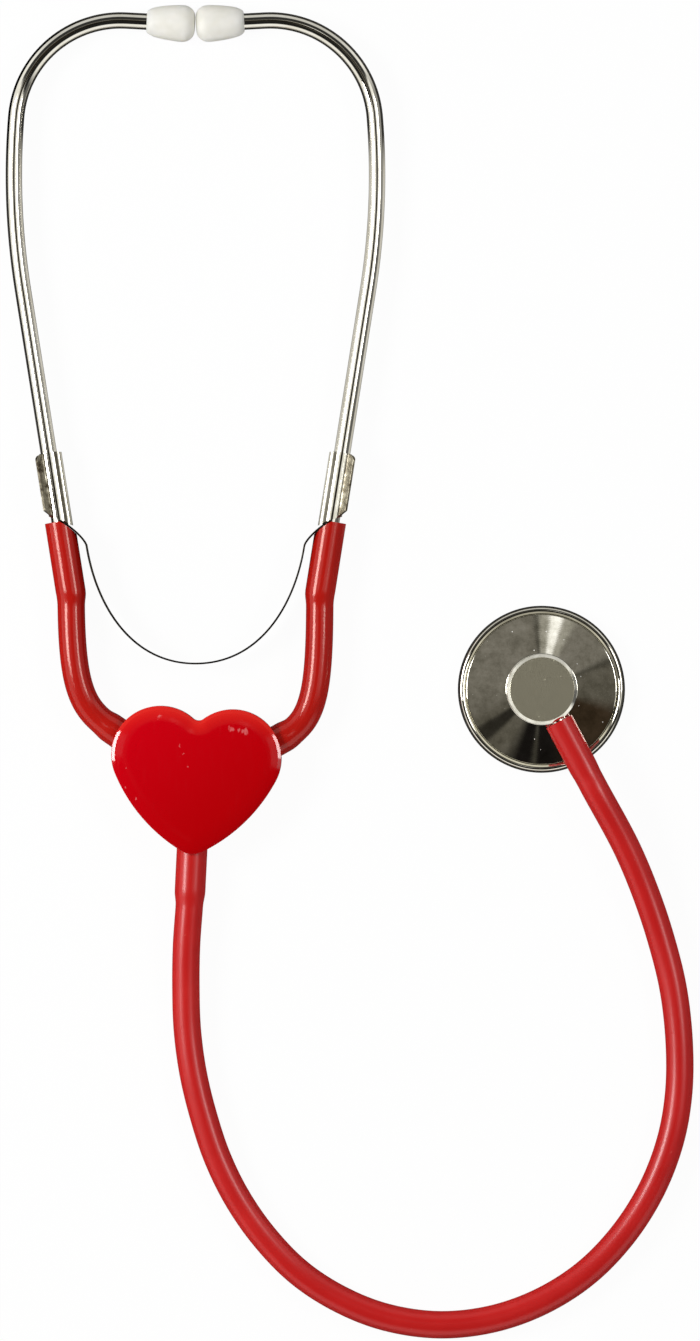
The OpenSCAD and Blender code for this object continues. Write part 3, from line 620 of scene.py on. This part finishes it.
def clipLoops(side):
    turn = 180 - clip["flangeRoll"]
    out = ray(turn)[:2]
    aside = np.array([out[1], -out[0]])
    outline = clipOutline(out, aside, turn)
    reach = outline @ out
    onFlange = (reach > sleeveRadius) & (np.abs(outline @ aside) < 2 * clip["sheet"])
    share = (reach - sleeveRadius) / (clip["flangeReach"] - sleeveRadius)
    flangeLow = clip["slant"] + share * (clip["flangeLow"] - clip["slant"])
    low = lowEnd(outline)
    low = np.where(onFlange, np.maximum(low, flangeLow), low)
    cornerSize, stepped = clip["flangeCorner"], clip["length"] - clip["step"]
    past = np.clip(reach - (clip["flangeReach"] - cornerSize), 0, cornerSize)
    flangeHigh = stepped - cornerSize + np.sqrt(cornerSize ** 2 - past ** 2)
    high = np.where(onFlange, flangeHigh, clip["length"])
    high = np.where(outline[:, 0] > sleeveRadius, stepped, high)
    bore = ear["diameter"] / 2 + clip["slack"]
    inner = bore * outline / np.linalg.norm(outline, axis=1)[:, None]
    innerHigh = np.full(len(outline), clip["length"] - clip["slack"])

    def place(section, height):  # height runs along the tube
        return (earFoot + (clip["at"] + height)[:, None] * earUp + section[:, :1] * earIn
                + section[:, 1:] * upward)

    loops = [place(inner, lowEnd(inner))]
    loops += [place(outline, low + t * (high - low)) for t in np.linspace(0, 1, clip["stations"])]
    loops += [place(inner, innerHigh)]
    return sided(np.array(loops), side), onFlange & np.roll(onFlange, -1)


for side in bothSides:
    loops, pinched = clipLoops(side)
    piece = addPiece(side + "SpringClip", skin(loops, endless=True), clipSheet,
                     side + "_clip", [side + "_spring_clip"], crease=clip["crease"])
    piece.data.materials.append(pinchedSheet)
    onPinch = np.tile(pinched, len(loops)).astype(int)
    piece.data.polygons.foreach_set("material_index", onPinch.tolist())


# leaf spring: a bent strip between the clips, in two halves

def stripLoops(line, low, high):  # heights are over and under the strip's middle
    edge = leaf["edge"]
    across, up = frameAlong(line)[1:]
    section = [(x * (leaf["thickness"] / 2 - edge) + edge * math.cos(a),
                (low + high) / 2 + z * ((high - low) / 2 - edge) + edge * math.sin(a))
               for x, z, start in ((1, 1, 0), (-1, 1, 90), (-1, -1, 180), (1, -1, 270))
               for a in np.radians(np.linspace(start, start + 90, leaf["edgeSteps"]))]
    return np.array([[p + x * a + z * u for x, z in section] for p, a, u in zip(line, across, up)])


leafBottom = np.array([0, leaf["bottomY"], ear["planeZ"]])
flankDown = flankTop - leaf["endPull"] * (flankTop[1] - leafBottom[1]) * earUp
bottomSide = leafBottom + leaf["bottomPull"] * np.array([flankTop[0], 0, 0])
flankLine = bezierLine([flankTop, flankDown, bottomSide, leafBottom], leaf["flankSteps"])
leafHalf = np.concatenate([shoulderLine[:-1], flankLine])
for side in bothSides:
    line = evenLine(sided(leafHalf, side), leaf["spacing"])
    fromTube = (line - sided(earFoot, side)) @ sided(earIn, side)
    forkEnd = int(np.argmax(fromTube > leaf["forkEnd"]))  # up to here it is forked round the tube
    inner, outer = ear["diameter"] / 2 + leaf["forkGap"], leaf["width"] / 2
    mesh = joined([skin(stripLoops(line[forkEnd:], -outer, outer)),
                   skin(stripLoops(line[:forkEnd + 1], inner, outer)),
                   skin(stripLoops(line[:forkEnd + 1], -outer, -inner))])
    piece = addPiece(side + "LeafSpring", mesh, stripSteel, stands=["leaf_spring"])
    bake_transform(piece)
print("clips and leaf spring made")


# heart: two moulded halves, the front with a rolled edge and a low crown

def angleOf(v):
    return math.degrees(math.atan2(v[1], v[0]))


def heartOutline(inset):  # arcs that run into each other, and their mirror image
    notchRadius, lobeRadius, flankRadius, pointRadius = (
        heart[name + "Radius"] for name in ("notch", "lobe", "flank", "point"))
    lobe, point = np.array([heart["lobeX"], heart["lobeY"], 0]), np.array([0, -heart["pointY"], 0])
    rise = math.sqrt((notchRadius + lobeRadius) ** 2 - heart["lobeX"] ** 2)
    notch = np.array([0, heart["lobeY"] + rise, 0])
    span = np.linalg.norm(point - lobe)
    way = (point - lobe) / span
    lobeAway, pointAway = flankRadius - lobeRadius, flankRadius - pointRadius
    near = (lobeAway ** 2 - pointAway ** 2 + span ** 2) / (2 * span)
    aside = math.sqrt(lobeAway ** 2 - near ** 2)
    flank = lobe + near * way + aside * np.array([way[1], -way[0], 0])
    half = [notch - np.array([0, notchRadius + inset, 0])]
    for name, centre, radius, start, end in (
            ("notch", notch, notchRadius + inset, -90, angleOf(lobe - notch)),
            ("lobe", lobe, lobeRadius - inset, angleOf(notch - lobe), angleOf(lobe - flank)),
            ("flank", flank, flankRadius - inset, angleOf(lobe - flank), angleOf(point - flank)),
            ("point", point, pointRadius - inset, angleOf(point - flank), -90)):
        steps = heart[name + "Steps"]
        turns = [start + (end - start) * i / steps for i in range(1, steps + 1)]
        half += [centre + radius * ray(a) for a in turns]
    return np.array(half + [p * mirrored for p in half[-2:0:-1]])


def heartLoops(slices):  # each slice is a height, an inset and a scale
    loops = []
    for height, inset, scale in slices:
        loop = scale * heartOutline(inset)
        loop[:, 2] = height
        loops.append([turned(p, heart["turn"]) for p in loop])
    return np.array(loops)


parting, seam = ear["planeZ"], heart["seam"]
edgeWidth, edgeRound = heart["edgeWidth"], heart["edgeRound"]
crownDrop = heart["crownWidth"] * math.tan(math.radians(heart["crownSlope"])) / 2
crownTop = parting + heart["frontHeight"]
edgeTop = crownTop - crownDrop
slope = math.tan(math.radians(heart["edgeTilt"]))
rounding = [(edgeRound * (1 - math.cos(t)), edgeRound * math.sin(t))
            for t in np.radians(np.linspace(0, 90 - heart["edgeTilt"], heart["roundRows"]))]
wallTop = edgeTop - (edgeWidth - rounding[-1][0]) * slope - rounding[-1][1]
edgeSlices = [(parting, seam, 1), (parting + seam, 0, 1)]
edgeSlices += [(wallTop + rise, inset, 1) for inset, rise in rounding]
edgeSlices += [(edgeTop - d * slope, edgeWidth - d, 1) for d in heart["edgeRows"]]
crownSlices = [(edgeTop + crownDrop * (1 - (1 - u) ** 2), edgeWidth + u * heart["crownWidth"], 1)
               for u in np.linspace(heart["crownStart"], 1, heart["crownRows"])]
crownSlices += [(crownTop, crownSlices[-1][1], scale) for scale in heart["topScales"]]
loops = heartLoops(edgeSlices + crownSlices)
front = addPiece("heartFront", skin(loops), heartEdge, "heart", ["heart_front"])
front.data.materials.append(heartFace)
faceNumbers = np.arange(len(front.data.polygons))
shinyFrom, shinyTo = (rows * loops.shape[1] for rows in (1 + len(rounding), len(edgeSlices) - 1))
scuffed = (faceNumbers < shinyFrom) | (faceNumbers >= shinyTo)
front.data.polygons.foreach_set("material_index", scuffed.astype(int).tolist())
stepWidth, stepHeight = heart["stepWidth"], heart["stepHeight"]
backSlices = [(rise, stepWidth + inset, 1) for rise, inset in heart["footRound"]]
backSlices += [(stepHeight - heart["stepSink"], stepWidth, 1)]
backSlices += [(stepHeight + rise, inset, 1) for rise, inset in heart["stepRound"]]
backSlices += [(parting - seam, 0, 1), (parting, seam, 1)]
addPiece("heartBack", skin(heartLoops(backSlices)), heartEdge, "heart", ["heart_back"])
print("heart made")


# chestpiece: turned bell with a boss, and a rolled ring round its edge

# Turned aluminium, polished on the lathe: clear mirror with fine rings of the tool, a thin film,
# white dust and a sanded top on the boss. The rings are drawn coarser than real ones, to show.
turnedAluminium, tree, surface, here = newMaterial("turnedAluminium", {"Metallic": 1.0})
film = addNode(tree, "TexNoise", {"Scale": cells(4), "Detail": 6, "Roughness": 0.75}, here)
metalTone = addNode(tree, "ValToRGB", {}, {"Fac": (film, "Fac")},
                    stops=[(0.35, "#bbb8aa"), (0.5, "#d9d6c9"), (0.66, "#f0ede2")])
dust = addNode(tree, "TexVoronoi", {"Scale": cells(2.7), "Randomness": 1.0}, here)
speck = addNode(tree, "ValToRGB", {}, {"Fac": (dust, "Distance")},
                stops=[(0.04, 1.0), (0.075, 0.0)])
dustTone = addNode(tree, "Mix", {mixOver: linear("#fbfaf5")},
                   {mixFactor: (speck, "Color"), mixBase: (metalTone, "Color")}, data_type="RGBA")
level = addNode(tree, "SeparateXYZ", {}, {0: here["Vector"]})
bossTop = chest["height"] / 1000
sanded = addNode(tree, "MapRange", {"From Min": bossTop - 0.00004, "From Max": bossTop - 0.00001},
                 {"Value": (level, "Z")})
bossTone = addNode(tree, "Mix", {mixOver: linear("#d6d0b6")},
                   {mixFactor: (sanded, "Result"), mixBase: (dustTone, mixed)}, data_type="RGBA")
bare = addNode(tree, "Math", {0: 1.0}, {1: (speck, "Color")}, operation="SUBTRACT")
satin = addNode(tree, "MapRange", {"To Min": 0.035, "To Max": 0.32}, {"Value": (sanded, "Result")})
grain = addNode(tree, "TexNoise", {"Scale": cells(0.35), "Detail": 3}, here)
axis = addNode(tree, "Mapping", {"Location": (-chest["x"] / 1000, -chest["y"] / 1000, 0)}, here)
toolRings = addNode(tree, "TexWave", {"Scale": bands(0.5), "Distortion": 1.5, "Detail": 2},
                    {"Vector": (axis, "Vector")}, wave_type="RINGS", rings_direction="Z")
marks = addNode(tree, "Math", {1: 0.5}, {0: (grain, "Fac"), 2: (toolRings, "Fac")},
                operation="MULTIPLY_ADD")
markBump = addNode(tree, "Bump", {"Strength": 1.0, "Distance": 0.000001},
                   {"Height": (marks, "Value")})
join(tree, surface, {"Base Color": (bossTone, mixed), "Metallic": (bare, "Value"),
                     "Roughness": (satin, "Result"), "Normal": (markBump, "Normal")})

# Rolled and plated brass ring: an even mirror with faint clouds in the plate.
ringNickel = cloudedMaterial(
    "nickelPlatedRing", {"Metallic": 1.0, "Roughness": 0.05}, {"Scale": cells(3), "Detail": 4},
    [(0.35, "#cfcbbc"), (0.7, "#e0dccf")])

# Glass-fibre sheet of the diaphragm: off-white, with the faint ribs of its weave.
fibreSheet, tree, surface, here = newMaterial("glassFibreSheet", {"Roughness": 0.4, "IOR": 1.52})
weave = addNode(tree, "TexWave", {"Scale": bands(0.3768), "Distortion": 1.0, "Detail": 1}, here)
weaveTone = addNode(tree, "ValToRGB", {}, {"Fac": (weave, "Fac")},
                    stops=[(0.2, "#dcd9cf"), (0.8, "#e8e6dd")])
join(tree, surface, {"Base Color": (weaveTone, "Color")})

# corners from the throat over the rim to the middle of the boss: radius, height and rounding
bell = {"corners": [(2.6, 4.35, 0), (18.6, 1.15, 0), (21.2, 1.15, 0.1), (21.2, 4.0, 0.4),
                    (chest["bossRadius"], 5.0, 0.3), (chest["bossRadius"], 14.3, 0.06),
                    (8.95, chest["height"], 0.06), (1, chest["height"], 0)]}
ring = {"inner": 21.3, "corners": [(21.3, 0.8, 0), (19.4, 0.8, 0.2), (19.4, 0.0, 0.2),
                                   (23.4, 0.0, 0.5), (23.4, 3.2, 0.25)],
        "beadRadius": 22.15, "beadHeight": 3.74, "beadRound": 0.85, "beadFrom": 62, "beadTo": -30,
        "beadSteps": 20}


def filletedProfile(corners, steps=8, guard=0.03):
    found = []
    points = [np.array(corner[:2], float) for corner in corners]
    for i, (p, r) in enumerate(zip(points, [corner[2] for corner in corners])):
        if r == 0:
            found.append(p)
            continue
        before, after = points[i - 1] - p, points[i + 1] - p
        before /= np.linalg.norm(before)
        after /= np.linalg.norm(after)
        half = math.acos(np.clip(before @ after, -1, 1)) / 2
        reach = r / math.tan(half)
        middle = p + (before + after) / np.linalg.norm(before + after) * r / math.sin(half)
        first, last = angleOf(p + before * reach - middle), angleOf(p + after * reach - middle)
        sweep = (last - first + 180) % 360 - 180
        # one more loop on either side keeps the shading of the flats flat
        found.append(p + before * (reach + guard))
        found += [middle + r * ray(first + sweep * s)[:2] for s in np.linspace(0, 1, steps)]
        found.append(p + after * (reach + guard))
    return [(height, radius) for radius, height in found]


def addTurned(name, profile, material, stands, endless=False):
    loops = latheLoops(profile, (chest["x"], chest["y"], 0), upward, chest["sides"])
    addPiece(name, skin(loops, endless), material, "chestpiece", stands)


addTurned("chestpieceBell", filletedProfile(bell["corners"]), turnedAluminium,
          ["chestpiece_body"])
bead = [(ring["beadRadius"] + ring["beadRound"] * math.sin(t),
         ring["beadHeight"] + ring["beadRound"] * math.cos(t))
        for t in np.radians(np.linspace(ring["beadFrom"], ring["beadTo"], ring["beadSteps"]))]
beadEnd, beadEndHeight = bead[-1]
bevelFoot = beadEndHeight - (beadEnd - ring["inner"]) * math.tan(math.radians(-ring["beadTo"]))
ringProfile = filletedProfile(ring["corners"] + [(*bead[0], 0)])
ringProfile += [(height, radius) for radius, height in bead[1:]] + [(bevelFoot, ring["inner"])]
addTurned("chestpieceRing", ringProfile, ringNickel, ["diaphragm_ring"], endless=True)
for name, material in (("chestpiece_stem", tubeNickel), ("diaphragm", fibreSheet),
                       ("y_connector", connectorPropylene)):
    data = nodes[name].data
    data.materials.clear()
    data.materials.append(material)
print("chestpiece made")


# stage: white table, a softbox left and right and a pale room

table = {"half": 6000, "drop": 0.2, "paint": "#f4f4f2", "white": 0.96,
         # in gloss it shows a painted reflection: painted shade close under a piece, dark all round
         # and pale inside the headset:
         # where each change starts and ends, and the gleam before and after it
         "gleams": [("Ray Length", 5, 10, 0.05, 0.75), ("Y", 172, 182, 1.0, 0.06),
                    ("X", -52, -36, 0.06, 1.0), ("Y", 65, 85, 0.12, 1.0)]}
tableData = bpy.data.meshes.new("table")
tableData.from_pydata([(x * table["half"] / 1000, y * table["half"] / 1000, -table["drop"] / 1000)
                       for x, y in ((-1, -1), (1, -1), (1, 1), (-1, 1))], [], [(0, 1, 2, 3)])
tableTop = bpy.data.objects.new("table", tableData)
scene.collection.objects.link(tableTop)
tableWhite = bpy.data.materials.new("whiteTable")
tableWhite.use_nodes = True
tree = tableWhite.node_tree
tree.nodes.remove(tree.nodes["Principled BSDF"])
paths = addNode(tree, "LightPath")
where = addNode(tree, "NewGeometry")
spot = addNode(tree, "SeparateXYZ", {}, {0: (where, "Position")})
gleam = None
for measure, first, last, before, after in table["gleams"]:
    source = paths if measure == "Ray Length" else spot
    part = addNode(tree, "MapRange", {"From Min": first / 1000, "From Max": last / 1000,
                                      "To Min": before, "To Max": after},
                   {"Value": (source, measure)})
    gleam = part if gleam is None else addNode(tree, "Math", {}, {0: (gleam, 0), 1: (part, 0)},
                                               operation="MULTIPLY")
paint = addNode(tree, "BsdfDiffuse", {"Color": linear(table["paint"])})
glow = addNode(tree, "Emission", {"Color": (1, 1, 1, 1), "Strength": 1.0})
shade = addNode(tree, "Emission", {"Color": (1, 0.98, 0.94, 1)}, {"Strength": (gleam, 0)})
seen = addNode(tree, "Math", {1: table["white"]}, {0: (paths, "Is Camera Ray")},
               operation="MULTIPLY")
seenOrLit = addNode(tree, "MixShader", {}, {0: (seen, "Value"), 1: (paint, "BSDF"),
                                            2: (glow, "Emission")})
both = addNode(tree, "MixShader", {}, {0: (paths, "Is Glossy Ray"), 1: (seenOrLit, "Shader"),
                                       2: (shade, "Emission")})
join(tree, tree.nodes["Material Output"], {"Surface": (both, "Shader")})
tableData.materials.append(tableWhite)

softboxes = [
    {"name": "keySoftbox", "place": (-900, 168, 900), "tall": 420, "long": 540, "radiance": 17},
    {"name": "fillSoftbox", "place": (1000, 255, 1150), "tall": 300, "long": 510, "radiance": 10},
]
for box in softboxes:
    lamp = bpy.data.lights.new(box["name"], "AREA")
    lamp.shape = "RECTANGLE"
    lamp.size, lamp.size_y = box["tall"] / 1000, box["long"] / 1000
    lamp.energy = box["radiance"] * math.pi * lamp.size * lamp.size_y
    holder = bpy.data.objects.new(box["name"], lamp)
    x, y, z = box["place"]
    holder.location = (x / 1000, y / 1000, z / 1000)
    holder.rotation_euler = (0, math.atan2(x, z), 0)
    holder.visible_camera = False
    scene.collection.objects.link(holder)

# The room that the gloss shows, in rings from overhead down. A ring fades in between two heights,
# 0 overhead and 0.5 level. Its sides run from the left through the near side, the right and the
# far side: tone, start and end.
roomTones = {"top": "#1a1712", "dark": "#151312", "dim": "#282622", "shade": "#42403a",
             "brown": "#342a20", "grey": "#58554e", "wall": "#73706a", "pale": "#9c9a93",
             "window": "#ffffff", "white": 0.9, "far": 0.6, "right": 0.3, "post": 0.12,
             "corner": 0.03, "black": 0.012}
roomLight = {"mirror": 1.3, "ambient": 0.33, "backdrop": 1.0}
ceiling = {"fade": (0.036, 0.044), "sides": [
    ("wall", 0, 0), ("grey", 0.09, 0.09), ("dim", 0.1, 0.13), ("grey", 0.14, 0.175),
    ("dark", 0.21, 0.24), ("shade", 0.25, 0.25), ("dark", 0.257, 0.29), ("brown", 0.38, 0.45),
    ("grey", 0.48, 0.545), ("shade", 0.555, 0.555), ("wall", 0.57, 0.655), ("pale", 0.668, 0.684),
    ("window", 0.692, 0.71), ("pale", 0.72, 0.736), ("shade", 0.744, 0.744), ("wall", 0.758, 0.92),
    ("wall", 1, 1)]}
# high up it is dark round the camera, with a white panel left and right
panels = {"fade": (0.07, 0.08), "sides": [
    ("white", 0, 0.006), ("black", 0.014, 0.46), ("white", 0.468, 0.58), ("corner", 0.59, 0.92),
    ("white", 0.93, 0.93)]}
# lower down it is white, with a grey side on the right and a dimmer far side
walls = {"fade": (0.262, 0.3), "sides": [
    ("white", 0, 0.41), ("post", 0.44, 0.49), ("right", 0.51, 0.56), ("white", 0.6, 0.6),
    ("far", 0.65, 0.85), ("white", 0.9, 0.9)]}
world = bpy.data.worlds.new("paleRoom")
scene.world = world
world.use_nodes = True
tree = world.node_tree
tree.nodes.clear()
paths = addNode(tree, "LightPath")
place = addNode(tree, "TexCoord")
parts = addNode(tree, "SeparateXYZ", {}, {0: (place, "Generated")})
zenith = addNode(tree, "Math", {}, {0: (parts, "Z")}, operation="ARCCOSINE")
height = addNode(tree, "Math", {1: math.pi}, {0: (zenith, "Value")}, operation="DIVIDE")
around = addNode(tree, "TexGradient", {}, {"Vector": (place, "Generated")}, gradient_type="RADIAL")
room = None
for part in (ceiling, panels, walls):
    stops = [(spot, roomTones[tone]) for tone, first, last in part["sides"]
             for spot in sorted({first, last})]
    partRing = addNode(tree, "ValToRGB", {}, {"Fac": (around, "Fac")}, stops=stops)
    partHeight = addNode(tree, "ValToRGB", {}, {"Fac": (height, "Value")},
                         stops=list(zip(part["fade"], (0.0, 1.0))))
    above = {} if room is None else {mixBase: (room, mixed)}
    room = addNode(tree, "Mix", {mixBase: linear(roomTones["top"])},
                   {mixFactor: (partHeight, "Color"), mixOver: (partRing, "Color"), **above},
                   data_type="RGBA")
mirror = addNode(tree, "Background", {"Strength": roomLight["mirror"]}, {"Color": (room, mixed)})
ambient, backdrop = (
    addNode(tree, "Background", {"Color": (1, 1, 1, 1), "Strength": roomLight[name]})
    for name in ("ambient", "backdrop"))
lit = addNode(tree, "MixShader", {}, {0: (paths, "Is Glossy Ray"), 1: (ambient, "Background"),
                                      2: (mirror, "Background")})
seenOrLit = addNode(tree, "MixShader", {}, {0: (paths, "Is Camera Ray"), 1: (lit, "Shader"),
                                            2: (backdrop, "Background")})
addNode(tree, "OutputWorld", {}, {"Surface": (seenOrLit, "Shader")})
scene.view_settings.view_transform = "Standard"
print("stage and lights set")
